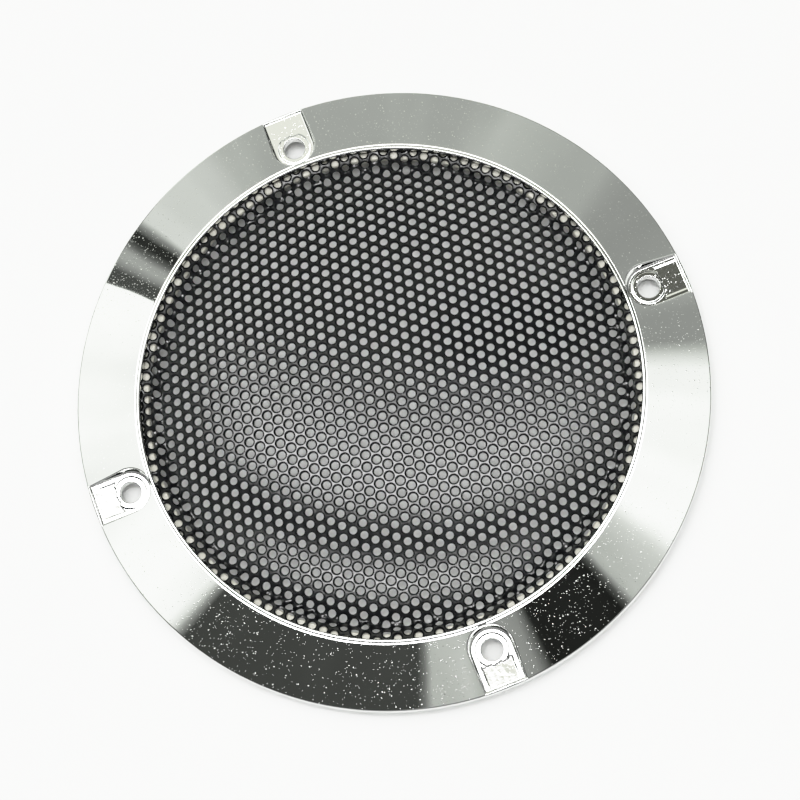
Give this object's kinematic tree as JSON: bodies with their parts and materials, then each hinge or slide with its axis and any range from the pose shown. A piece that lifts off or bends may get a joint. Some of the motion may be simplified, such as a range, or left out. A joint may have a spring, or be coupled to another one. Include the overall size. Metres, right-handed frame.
{
  "type": "speaker grille cover",
  "caption": "Round car speaker grille cover: a bright plated trim ring with screw pockets round a shallow domed panel of black perforated steel.",
  "frame": {"origin": "centre of the plane that the back of the trim ring's skirt sits on", "axes": "+Z out of the front towards the listener, along the cover's axis; the four screw pockets lie on +X, +Y, -X and -Y"},
  "size_m": [0.158, 0.158, 0.0087],
  "materials": {
    "chrome_plating": "polished",
    "black_paint": "satin",
    "natural_abs": "satin"
  },
  "bodies": {
    "root": {"trim_ring": "chrome_plating", "mesh_panel": "black_paint", "mesh_retaining_ring": "natural_abs"}
  },
  "joints": []
}
